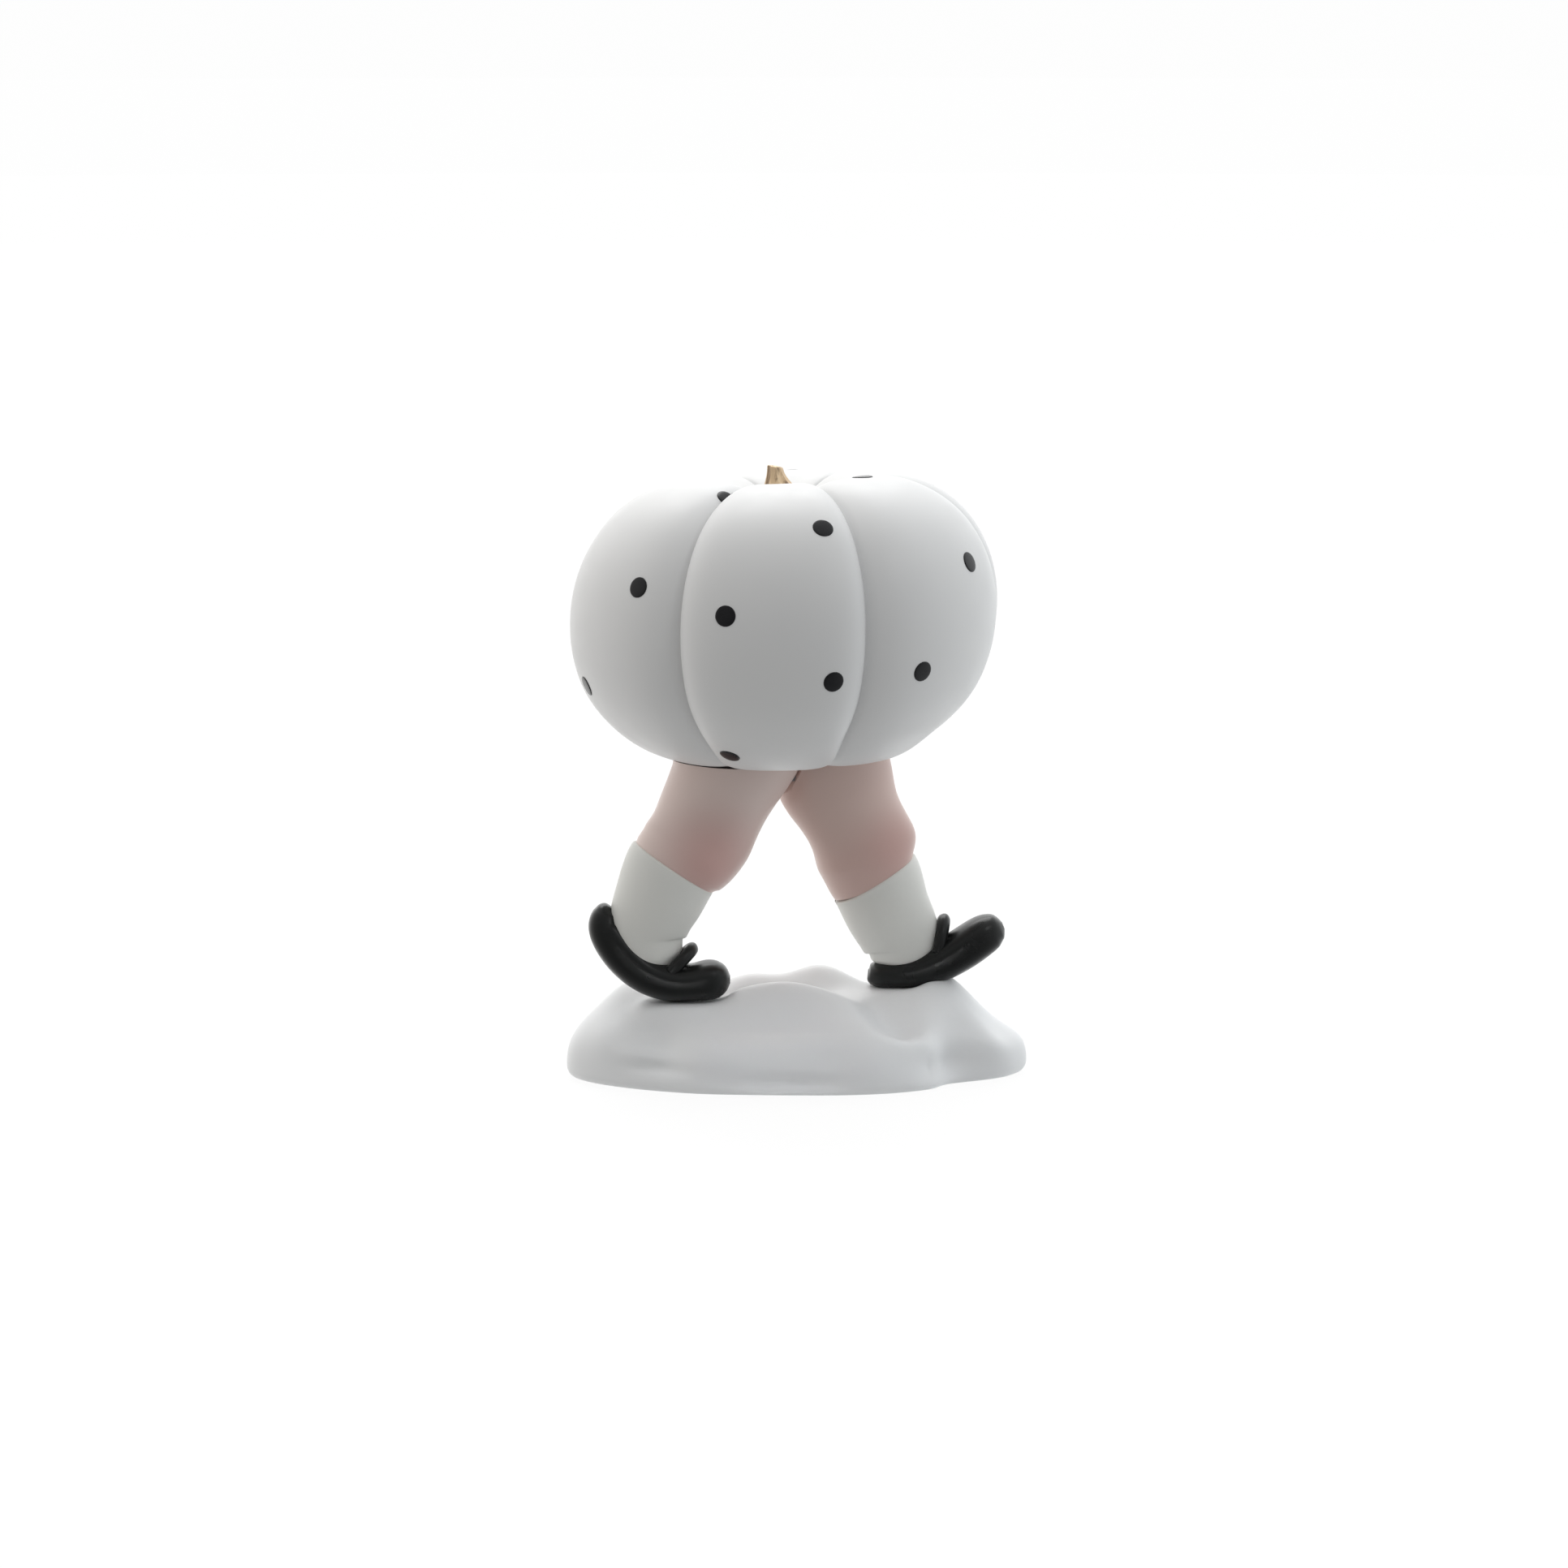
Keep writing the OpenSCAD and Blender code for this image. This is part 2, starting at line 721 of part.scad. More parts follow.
pumpkin_shell();
dot_inlays();
stem();
neck_bushing();
hip_block();
friction_washer();
retaining_washer();
retaining_screw();
trailing_leg();
leading_leg();
trailing_leg_rod();
leading_leg_rod();
trailing_sock();
leading_sock();
trailing_shoe();
leading_shoe();
trailing_strap();
leading_strap();
base_shell();
shoe_screws();
screw_washers();
base_plate();
plate_screws();
base_pad();
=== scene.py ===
"""Looks for the striding pumpkin toy: a dotted vinyl pumpkin that turns on two legs, on a snow mound.

Sizes are in millimetres until a mesh is made. X is the walking direction and -Y is the viewer's side.
"""

import math

import bmesh
import bpy
import numpy as np
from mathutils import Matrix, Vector


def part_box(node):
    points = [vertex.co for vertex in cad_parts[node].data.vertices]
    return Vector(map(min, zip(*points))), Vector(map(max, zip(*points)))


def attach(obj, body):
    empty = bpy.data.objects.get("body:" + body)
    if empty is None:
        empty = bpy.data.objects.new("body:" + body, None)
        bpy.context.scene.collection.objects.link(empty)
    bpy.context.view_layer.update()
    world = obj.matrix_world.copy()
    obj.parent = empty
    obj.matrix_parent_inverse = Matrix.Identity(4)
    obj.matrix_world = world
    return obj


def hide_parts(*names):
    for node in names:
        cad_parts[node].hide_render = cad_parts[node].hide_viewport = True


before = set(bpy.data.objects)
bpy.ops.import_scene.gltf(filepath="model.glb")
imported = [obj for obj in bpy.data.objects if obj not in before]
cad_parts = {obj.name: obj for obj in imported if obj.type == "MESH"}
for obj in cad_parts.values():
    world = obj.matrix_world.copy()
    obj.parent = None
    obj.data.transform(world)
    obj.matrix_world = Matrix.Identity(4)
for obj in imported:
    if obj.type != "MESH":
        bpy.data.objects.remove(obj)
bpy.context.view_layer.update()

MM = 0.001


# ---- camera, light and floor ----

def make_camera():
    """Camera on the viewer's side, 8 degrees above the middle of the toy."""
    elevation = math.radians(8)
    distance = 2.2
    target = Vector((-0.0042, 0, 0.0968))
    data = bpy.data.cameras.new("camera")
    data.angle = math.radians(13.155)
    data.clip_end = 50
    camera = bpy.data.objects.new("camera", data)
    bpy.context.collection.objects.link(camera)
    camera.location = target + distance * Vector((0, -math.cos(elevation), math.sin(elevation)))
    camera.rotation_euler = (target - camera.location).to_track_quat("-Z", "Y").to_euler()
    bpy.context.scene.camera = camera


def make_world():
    """White studio tent: brighter overhead and behind the toy, darker on the viewer's side."""
    world = bpy.data.worlds.new("studio")
    bpy.context.scene.world = world
    world.use_nodes = True
    tree = world.node_tree
    nodes, links = tree.nodes, tree.links
    background = nodes["Background"]
    way = nodes.new("ShaderNodeTexCoord")
    split = nodes.new("ShaderNodeSeparateXYZ")
    links.new(way.outputs["Generated"], split.inputs[0])
    total = None
    for axis, share in (("X", 0.02), ("Y", 0.58), ("Z", 0.16)):
        term = nodes.new("ShaderNodeMath")
        term.operation = "MULTIPLY_ADD"
        links.new(split.outputs[axis], term.inputs[0])
        term.inputs[1].default_value = share
        if total is None:
            term.inputs[2].default_value = 0.82
        else:
            links.new(total, term.inputs[2])
        total = term.outputs[0]
    floor = nodes.new("ShaderNodeMath")
    floor.operation = "MAXIMUM"
    links.new(total, floor.inputs[0])
    floor.inputs[1].default_value = 0.05
    links.new(floor.outputs[0], background.inputs["Strength"])
    tint = nodes.new("ShaderNodeMapRange")
    links.new(split.outputs["X"], tint.inputs["Value"])
    tint.inputs["From Min"].default_value = -1
    mix = nodes.new("ShaderNodeMix")
    mix.data_type = "RGBA"
    links.new(tint.outputs[0], mix.inputs["Factor"])
    mix.inputs["A"].default_value = (1.0, 0.985, 0.96, 1)
    mix.inputs["B"].default_value = (0.955, 0.985, 1.0, 1)
    links.new(mix.outputs["Result"], background.inputs["Color"])


def area_light(name, where, size, watts, spread=180, target=(0, 0, 0.1)):
    data = bpy.data.lights.new(name, "AREA")
    data.size = size
    data.energy = watts
    data.spread = math.radians(spread)
    light = bpy.data.objects.new(name, data)
    bpy.context.collection.objects.link(light)
    light.location = where
    light.rotation_euler = (Vector(target) - light.location).to_track_quat("-Z", "Y").to_euler()


def make_floor():
    """Plain white bowl: flat under the toy and curving up far away on every side."""
    flat = 4.0
    curve = 2.0
    around = 96
    run = [(flat + curve * math.sin(turn), curve * (1 - math.cos(turn)))
           for turn in np.radians(np.arange(0, 91, 7.5))] + [(flat + curve, curve + 4)]
    points = [(r * math.cos(2 * math.pi * k / around), r * math.sin(2 * math.pi * k / around), z)
              for r, z in run for k in range(around)]
    faces = [tuple(range(around))]
    for first in range(0, (len(run) - 1) * around, around):
        for k in range(around):
            n = (k + 1) % around
            faces.append((first + k, first + n, first + around + n, first + around + k))
    mesh = bpy.data.meshes.new("floor")
    mesh.from_pydata(points, [], faces)
    floor = bpy.data.objects.new("floor", mesh)
    bpy.context.collection.objects.link(floor)
    material = bpy.data.materials.new("floor_white")
    material.use_nodes = True
    shader = material.node_tree.nodes["Principled BSDF"]
    shader.inputs["Base Color"].default_value = (0.12, 0.12, 0.12, 1)
    shader.inputs["Roughness"].default_value = 0.9
    shader.inputs["Specular IOR Level"].default_value = 0.0
    shader.inputs["Emission Color"].default_value = (1, 1, 1, 1)
    shader.inputs["Emission Strength"].default_value = 0.9
    mesh.materials.append(material)
    floor.visible_diffuse = False
    floor.visible_glossy = False
    floor.visible_shadow = False


make_camera()
make_world()
area_light("back_softbox", (-0.1, 0.86, 1.33), 1.0, 7.5)
area_light("front_spot", (0.9, -0.9, 1.1), 0.25, 1.0)
area_light("low_fill", (0.0, -0.9, 0.01), 0.1, 0.005, 11, (0, 0, -0.012))
make_floor()
bpy.context.scene.view_settings.view_transform = "Standard"


# ---- materials ----

class Finish:
    """Node tree of one material, with short ways to add what the finishes share."""

    def __init__(self, name, color, roughness, specular=0.5, metallic=0.0):
        self.material = bpy.data.materials.new(name)
        self.material.use_nodes = True
        self.tree = self.material.node_tree
        self.nodes = self.tree.nodes
        self.shader = self.nodes["Principled BSDF"]
        self.color = self.rgb(color)
        self.shader.inputs["Base Color"].default_value = self.color
        self.shader.inputs["Roughness"].default_value = roughness
        self.shader.inputs["Specular IOR Level"].default_value = specular
        self.shader.inputs["Metallic"].default_value = metallic
        self.place = self.nodes.new("ShaderNodeTexCoord").outputs["Object"]
        self.base = None
        self.height = None

    @staticmethod
    def rgb(color):
        return (color[0], color[1], color[2], 1)

    def link(self, a, b):
        self.tree.links.new(a, b)

    def noise(self, per_metre, detail=2.0, rough=0.5, stretch=(1, 1, 1)):
        """Noise over the object, from 0 to 1, with so many bumps to the metre."""
        scale = self.nodes.new("ShaderNodeMapping")
        scale.inputs["Scale"].default_value = stretch
        self.link(self.place, scale.inputs["Vector"])
        noise = self.nodes.new("ShaderNodeTexNoise")
        self.link(scale.outputs[0], noise.inputs["Vector"])
        noise.inputs["Scale"].default_value = per_metre
        noise.inputs["Detail"].default_value = detail
        noise.inputs["Roughness"].default_value = rough
        return noise.outputs["Fac"]

    def ramp(self, value, low, high, out_low=0.0, out_high=1.0):
        span = self.nodes.new("ShaderNodeMapRange")
        span.interpolation_type = "SMOOTHSTEP"
        self.link(value, span.inputs["Value"])
        span.inputs["From Min"].default_value = low
        span.inputs["From Max"].default_value = high
        span.inputs["To Min"].default_value = out_low
        span.inputs["To Max"].default_value = out_high
        return span.outputs[0]

    def near(self, centre, inner, outer):
        """1 within inner millimetres of centre, falling to 0 at outer."""
        gap = self.nodes.new("ShaderNodeVectorMath")
        gap.operation = "DISTANCE"
        self.link(self.place, gap.inputs[0])
        gap.inputs[1].default_value = [v * MM for v in centre]
        return self.ramp(gap.outputs["Value"], inner * MM, outer * MM, 1.0, 0.0)

    def tint(self, share, color, strength=1.0):
        """Mixes another colour over the base colour by a share from 0 to 1."""
        amount = self.nodes.new("ShaderNodeMath")
        amount.operation = "MULTIPLY"
        self.link(share, amount.inputs[0])
        amount.inputs[1].default_value = strength
        mix = self.nodes.new("ShaderNodeMix")
        mix.data_type = "RGBA"
        self.link(amount.outputs[0], mix.inputs["Factor"])
        if self.base is None:
            mix.inputs["A"].default_value = self.color
        else:
            self.link(self.base, mix.inputs["A"])
        mix.inputs["B"].default_value = self.rgb(color)
        self.base = mix.outputs["Result"]
        self.link(self.base, self.shader.inputs["Base Color"])

    def vary_roughness(self, value, low, high):
        """Roughness from low to high by a noise."""
        self.link(self.ramp(value, 0.3, 0.7, low, high), self.shader.inputs["Roughness"])

    def bump(self, value, depth):
        """Raises the surface by up to depth millimetres."""
        bump = self.nodes.new("ShaderNodeBump")
        bump.inputs["Distance"].default_value = depth * MM
        self.link(value, bump.inputs["Height"])
        if self.height is not None:
            self.link(self.height, bump.inputs["Normal"])
        self.height = bump.outputs["Normal"]
        self.link(self.height, self.shader.inputs["Normal"])


def vinyl(name, color, shade, roughness=0.42, specular=0.4):
    """Rotocast vinyl: even colour with a faint cloudiness and a very fine skin."""
    finish = Finish(name, color, roughness, specular)
    cloud = finish.noise(28, 3)
    finish.tint(finish.ramp(cloud, 0.35, 0.75), shade, 0.5)
    finish.vary_roughness(finish.noise(90, 2), roughness - 0.04, roughness + 0.06)
    finish.bump(finish.noise(700, 2), 0.006)
    return finish


def make_leg_material(name, color, shade, blushes):
    """Flesh vinyl with a rubbed-in blush over the knee and round the leg's ends."""
    finish = vinyl(name, color, shade, 0.4)
    for centre, inner, outer, strength in blushes:
        finish.tint(finish.near(centre, inner, outer), (0.62, 0.36, 0.33), strength)
    return finish.material


def make_gold():
    finish = Finish("stem_gold", (0.72, 0.53, 0.33), 0.42, 0.5, 0.35)
    streak = finish.noise(420, 3, 0.6, (1, 1, 0.12))
    finish.tint(finish.ramp(streak, 0.46, 0.62), (0.20, 0.12, 0.07), 0.85)
    # Lighter gold streaks tinted into the colour: painted sheen.
    painted_sheen = finish.noise(300, 2, 0.5, (1, 1, 0.15))
    finish.tint(finish.ramp(painted_sheen, 0.5, 0.72), (0.88, 0.74, 0.52), 0.7)
    finish.vary_roughness(finish.noise(500, 2), 0.34, 0.55)
    finish.bump(streak, 0.12)
    return finish.material


def make_shoe():
    finish = Finish("shoe_black", (0.007, 0.008, 0.008), 0.3, 0.3)
    finish.tint(finish.ramp(finish.noise(60, 3), 0.4, 0.7), (0.013, 0.013, 0.013), 0.8)
    finish.vary_roughness(finish.noise(140, 3), 0.26, 0.36)
    finish.bump(finish.noise(400, 2), 0.001)
    return finish.material


def make_dot():
    finish = Finish("dot_black", (0.006, 0.006, 0.008), 0.24, 0.3)
    finish.tint(finish.ramp(finish.noise(200, 2), 0.4, 0.7), (0.012, 0.012, 0.014), 0.8)
    finish.vary_roughness(finish.noise(300, 2), 0.2, 0.3)
    return finish.material


def make_steel():
    finish = Finish("steel", (0.62, 0.63, 0.64), 0.3, 0.5, 1.0)
    brush = finish.noise(900, 2, 0.5, (1, 1, 0.1))
    finish.tint(finish.ramp(brush, 0.4, 0.65), (0.45, 0.46, 0.48), 0.6)
    finish.vary_roughness(brush, 0.25, 0.42)
    finish.bump(brush, 0.02)
    return finish.material


def make_plastic():
    finish = Finish("hard_plastic", (0.26, 0.27, 0.28), 0.45, 0.5)
    finish.tint(finish.ramp(finish.noise(400, 3), 0.4, 0.7), (0.21, 0.215, 0.225), 0.7)
    finish.vary_roughness(finish.noise(500, 2), 0.38, 0.55)
    finish.bump(finish.noise(1500, 2), 0.02)
    return finish.material


def make_felt():
    finish = Finish("felt_black", (0.03, 0.03, 0.032), 0.95, 0.1)
    fibre = finish.noise(2500, 4, 0.7)
    finish.tint(finish.ramp(fibre, 0.4, 0.7), (0.07, 0.07, 0.072), 0.8)
    finish.bump(fibre, 0.15)
    return finish.material


def make_foam():
    finish = Finish("pad_foam", (0.035, 0.035, 0.038), 0.9, 0.2)
    cells = finish.noise(1600, 3, 0.6)
    finish.tint(finish.ramp(cells, 0.45, 0.65), (0.012, 0.012, 0.013), 0.9)
    finish.bump(cells, 0.2)
    return finish.material


SKIN = vinyl("pumpkin_vinyl", (0.80, 0.80, 0.80), (0.775, 0.775, 0.78)).material
SOCK = vinyl("sock_white", (0.80, 0.80, 0.765), (0.765, 0.765, 0.735), 0.5).material
GOLD = make_gold()
SHOE = make_shoe()
DOT = make_dot()
SNOW = vinyl("base_white", (0.86, 0.87, 0.88), (0.83, 0.84, 0.855), 0.45).material
CARRIED = {
    "hard_plastic": make_plastic(),
    "felt_black": make_felt(),
    "steel": make_steel(),
    "pad_foam": make_foam(),
}


# ---- curves, rings and meshes ----

def bend(a, b, c, d, t):
    """Value t (0 to 1) of the way from b to c on a smooth curve that comes from a and goes on to d."""
    return 0.5 * (2 * b + (c - a) * t + (2 * a - 5 * b + 4 * c - d) * t ** 2 + (3 * b - a - 3 * c + d) * t ** 3)


def spline(p, i, t):
    """Point t (0 to 1) of the way from station i to the next on a smooth curve through p."""
    a = p[max(i - 1, 0)]
    b = p[i]
    c = p[min(i + 1, len(p) - 1)]
    d = p[min(i + 2, len(p) - 1)]
    return bend(a, b, c, d, t)


def smooth(stations, steps):
    p = np.array(stations, float)
    path = [spline(p, i, k / steps) for i in range(len(p) - 1) for k in range(steps)]
    return np.array(path + [p[-1]])


def unit(v):
    return v / np.linalg.norm(v)


def directions(path):
    """Unit direction of a path at each of its stations."""
    return [unit(path[min(i + 1, len(path) - 1)][:3] - path[max(i - 1, 0)][:3]) for i in range(len(path))]


def rings_along(path, around, squareness=2.0, across=(0, 1, 0), ways=None):
    """Rings of points round each station [x, y, z, half thickness, half width] of a path."""
    rings = []
    angle = np.arange(around) * 2 * math.pi / around
    c, s = np.cos(angle), np.sin(angle)
    swell = (np.abs(c) ** squareness + np.abs(s) ** squareness) ** (-1 / squareness)
    c, s = c * swell, s * swell
    for q, t in zip(path, directions(path) if ways is None else ways):
        up = unit(np.cross(t, across))
        side = np.cross(t, up)
        rings.append(q[:3] + q[3] * c[:, None] * up + q[4] * s[:, None] * side)
    return np.array(rings)


def tube_faces(rings, around, closed=False):
    """Quads between neighbouring rings, with a cap on each end unless the rings close on themselves."""
    faces = []
    for i in range(rings if closed else rings - 1):
        a = i * around
        b = (i + 1) % rings * around
        for k in range(around):
            n = (k + 1) % around
            faces.append((a + k, a + n, b + n, b + k))
    if not closed:
        faces.append(tuple(reversed(range(around))))
        faces.append(tuple((rings - 1) * around + k for k in range(around)))
    return faces


def mesh_object(name, points, faces, material, body, slot, *nodes, keep=30):
    """Makes a piece from millimetre points and hands it to the frame."""
    mesh = bpy.data.meshes.new(name)
    mesh.from_pydata((np.asarray(points) * MM).tolist(), [], faces)
    obj = bpy.data.objects.new(name, mesh)
    bpy.context.collection.objects.link(obj)
    finish_piece(obj, material, body, slot, *nodes, keep=keep)
    return obj


def finish_piece(obj, material, body, slot, *nodes, keep=30):
    """Welds and smooths a mesh, gives it its material, parents it to its body and hides the CAD nodes it stands
    for.
    """
    work = bmesh.new()
    work.from_mesh(obj.data)
    bmesh.ops.remove_doubles(work, verts=work.verts, dist=1e-6)
    bmesh.ops.recalc_face_normals(work, faces=work.faces)
    work.to_mesh(obj.data)
    work.free()
    obj.data.materials.clear()
    obj.data.materials.append(material)
    for face in obj.data.polygons:
        face.use_smooth = True
    obj.data.set_sharp_from_angle(angle=math.radians(keep))
    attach(obj, body)
    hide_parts(*nodes)


def fit(points, node):
    """Scale and shift that lay a shape's box on a CAD node's box, as a function of points."""
    low, high = points.min(axis=0), points.max(axis=0)
    corner = [np.array(v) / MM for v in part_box(node)]
    scale = (corner[1] - corner[0]) / (high - low)
    return lambda p: corner[0] + (p - low) * scale


# ---- pumpkin ----

PUMPKIN_R = 70.3
PUMPKIN_C = np.array([-4.2, 0.7, 151.8])
SEAMS = np.array([-92, -30.5, 23.5, 88, 146, 207, 268])
FRONT_LOBE = 1
FRONT_PROUD = 0.02
CREASE = 0.07
CREST_MAX = 69.7
CREST = np.array([43.3, 44.8, 47.6, 52.0, 57.2, 61.5, 65.0, 67.8, 69.2, 69.7,
                  69.6, 68.5, 66.2, 62.3, 57.2, 50.8, 42.6, 35.8, 34.2])
CROWN = np.array([0.03, -0.015, 0.015, -0.015, -0.04, -0.03])


def crest_at(el):
    """Distance from the centre to the lobes' crest at an elevation in degrees."""
    x = (np.asarray(el, float) + 90) / 10
    i = np.clip(np.floor(x).astype(int), 0, 17)
    t = x - i
    a = CREST[np.abs(i - 1)]
    b = CREST[i]
    c = CREST[i + 1]
    d = CREST[np.where(i + 2 > 18, 34 - i, i + 2)]
    return PUMPKIN_R / CREST_MAX * bend(a, b, c, d, t)


def lobe_gain(k, u, el):
    """How far the skin stands at share u (-1 to 1) across lobe k, against the crest."""
    groove = 0.012 * np.exp(-((1 - np.abs(u)) / 0.035) ** 2)
    front = np.where(k == FRONT_LOBE, FRONT_PROUD * (1 - u ** 8), 0)
    crown = CROWN[k] * (1 - u ** 4) * np.maximum(np.sin(np.radians(el)), 0) ** 3
    return 1 - CREASE * np.abs(u) ** 5 - groove + front + crown


def skin_radius(az, el):
    turned = (np.asarray(az, float) - SEAMS[0]) % 360 + SEAMS[0]
    k = np.clip(np.searchsorted(SEAMS, turned, side="right") - 1, 0, 5)
    u = 2 * (turned - SEAMS[k]) / (SEAMS[k + 1] - SEAMS[k]) - 1
    lean = 1 + 0.03 * np.sin(np.radians(turned)) * np.sin(np.radians(2 * el))
    return lobe_gain(k, u, el) * lean * crest_at(el)


def toward(az, el):
    az, el = np.radians(az), np.radians(el)
    return np.stack([np.cos(el) * np.sin(az), -np.cos(el) * np.cos(az), np.sin(el) + 0 * az], axis=-1)


def skin_point(az, el, inset=0.0):
    return PUMPKIN_C + (skin_radius(az, el) - inset)[..., None] * toward(az, el)


def elevation_at_reach(az, reach, inset, low, high):
    """Elevation between low and high at which the skin is so far from the pumpkin's axis."""
    low = np.full(az.shape, float(low))
    high = np.full(az.shape, float(high))
    for _ in range(40):
        mid = (low + high) / 2
        wide = (skin_radius(az, mid) - inset) * np.cos(np.radians(mid)) > reach
        at_bottom = mid < 0
        up = np.where(at_bottom, ~wide, wide)
        low = np.where(up, mid, low)
        high = np.where(up, high, mid)
    return (low + high) / 2


# Lowest the underside comes at each reach from the axis, over the whole turn
UNDER_R = [0, 25, 28, 31, 34, 37, 40, 43, 46, 49, 52]
UNDER_Z = [105.18, 105.18, 105.22, 105.35, 105.6, 106.01, 106.76, 107.77, 109.03, 110.67, 112.58]


def reach_and_floor(points):
    reach = np.hypot(points[:, 0] - PUMPKIN_C[0], points[:, 1] - PUMPKIN_C[1])
    return reach, np.interp(reach, UNDER_R, UNDER_Z)


def settle(points):
    """Fills the valleys between the lobes a little where they pass over the thighs."""
    reach, floor = reach_and_floor(points)
    full_reach, no_reach, most = 36, 52, 0.7
    near = np.clip((no_reach - reach) / (no_reach - full_reach), 0, 1)
    share = most * near ** 2 * (3 - 2 * near) * (points[:, 2] < PUMPKIN_C[2])
    points[:, 2] -= share * np.maximum(points[:, 2] - floor, 0)
    return points


def make_pumpkin():
    """Hollow shell with a seat and a bore for the neck below and a hole for the stem on top."""
    per_lobe = 44
    out_rows = 150
    in_rows = 40
    seat_r, bore_r, boss_r, stem_r, wall = 21.0, 15.0, 23.0, 4.0, 3.2
    seat_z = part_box("neck_bushing")[0][2] / MM
    boss_z = seat_z + 5
    share = np.sin(np.radians(180 * np.arange(per_lobe) / per_lobe - 90))
    az = np.concatenate([SEAMS[k] + (share + 1) / 2 * (SEAMS[k + 1] - SEAMS[k]) for k in range(6)])
    out_low = elevation_at_reach(az, seat_r, 0, -89.9, -30)
    out_high = elevation_at_reach(az, stem_r, 0, 30, 89.9)
    in_low = elevation_at_reach(az, boss_r, wall, -89.9, -30)
    in_high = elevation_at_reach(az, stem_r, wall, 30, 89.9)

    def flat_ring(r, z):
        a = np.radians(az)
        return PUMPKIN_C * [1, 1, 0] + np.stack([r * np.sin(a), -r * np.cos(a), np.full(az.shape, z)], axis=-1)

    rings = [flat_ring(bore_r, seat_z), flat_ring(seat_r, seat_z)]
    for j in range(out_rows + 1):
        rings.append(settle(skin_point(az, out_low + (out_high - out_low) * j / out_rows)))
    for j in range(in_rows + 1):
        rings.append(skin_point(az, in_high + (in_low - in_high) * j / in_rows, wall))
    rings.append(flat_ring(boss_r, boss_z))
    rings.append(flat_ring(bore_r, boss_z))
    rings = np.array(rings)
    points = rings.reshape(-1, 3)
    lay = fit(points, "pumpkin_shell")
    mesh_object("pumpkin_skin", lay(points), tube_faces(len(rings), len(az), closed=True),
                SKIN, "pumpkin", "pumpkin_vinyl", "pumpkin_shell", keep=50)
    return lay


DOTS = [
    (12, 30), (-15, 6), (-43, 12), (13, -11), (40, -10), (61, 17), (-71, -17), (-20, -38),
    (-31, 49), (57, 57), (100, -22), (112, 30), (128, 4), (158, -14), (170, 28), (190, 2),
    (222, -20), (236, 22), (252, -2), (176, 46),
]


def make_dots(lay):
    """Thin domed black discs that follow the skin, sunk a little into it."""
    radius, proud, sunk = 3.35, 0.32, 0.3
    around = 40
    profile = [(1.0, -sunk), (1.0, 0.06), (0.985, 0.16), (0.95, 0.23), (0.88, 0.27), (0.7, 0.30),
               (0.4, proud), (0.12, proud)]
    points, faces = [], []
    for az, el in DOTS:
        centre = skin_point(np.array(az), np.array(el))
        out = unit(np.cross(
            skin_point(np.array(az + 1.0), np.array(el)) - skin_point(np.array(az - 1.0), np.array(el)),
            skin_point(np.array(az), np.array(el + 1.0)) - skin_point(np.array(az), np.array(el - 1.0))))
        side = unit(np.cross((0, 0, 1), out))
        up = np.cross(out, side)
        first = len(points)
        for share, lift in profile:
            for k in range(around):
                a = 2 * math.pi * k / around
                flat = centre + radius * share * (math.cos(a) * side + math.sin(a) * up) - PUMPKIN_C
                spot_az = math.degrees(math.atan2(flat[0], -flat[1]))
                spot_el = math.degrees(math.asin(flat[2] / np.linalg.norm(flat)))
                points.append(skin_point(np.array(spot_az), np.array(spot_el)) + lift * out)
        faces += [tuple(first + i for i in f) for f in tube_faces(len(profile), around)]
    mesh_object("dots", lay(np.array(points)), faces, DOT, "pumpkin", "dot_black", "dot_inlays", keep=60)


def make_stem():
    """Short fluted stem that leans to the left and flares into the crown."""
    around = 72
    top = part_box("stem")[1][2] / MM
    foot = PUMPKIN_C[2] + crest_at(90) - 1.5
    # Shift along X, radius, and height above the foot
    stations = [(0.0, 3.9, -6.9), (0.0, 3.9, -0.5), (-0.4, 6.4, 0.3), (-0.9, 6.0, 5.0), (-1.5, 5.3, 8.6),
                (-1.8, 4.5, 10.0), (-2.3, 3.6, 11.6), (-2.6, 2.95, 13.2), (-2.8, 2.6, 14.6), (-2.9, 2.4, 15.6),
                (-2.9, 1.9, 15.9), (-2.9, 0.8, 15.6)]
    path = np.array(stations) + [0, 0, foot]
    fine = np.array([spline(path, i, t / 5) for i in range(1, len(path) - 1) for t in range(5)] + [path[-1]])
    fine = np.vstack([path[:1], fine])
    angle = np.arange(around) * 2 * math.pi / around
    points = []
    for x, r, z in fine:
        grow = np.clip((z - foot + 1) / 3, 0, 1)
        flare = np.clip(1 - (z - foot) / 8, 0, 1)
        ribs = 1 + grow * (0.05 + 0.06 * flare) * np.cos(9 * angle + 0.4) + grow * 0.03 * np.cos(4 * angle + 1.1)
        for a, rib in zip(angle, ribs):
            reach = r * rib * (1 + 0.18 * flare * grow * max(math.cos(a), 0))
            slant = 0.16 * reach * math.cos(a) * np.clip((z - foot - 12) / 3, 0, 1)
            points.append((PUMPKIN_C[0] + x + reach * math.cos(a), PUMPKIN_C[1] + reach * math.sin(a), z - slant))
    points = np.array(points)
    points[:, 2] += top - points[:, 2].max()
    mesh_object("stem_fluted", points, tube_faces(len(fine), around), GOLD, "pumpkin", "stem_gold", "stem", keep=45)


skin_lay = make_pumpkin()
make_dots(skin_lay)
make_stem()


# ---- legs ----
# Stations are [x, y, z, half thickness, half width]

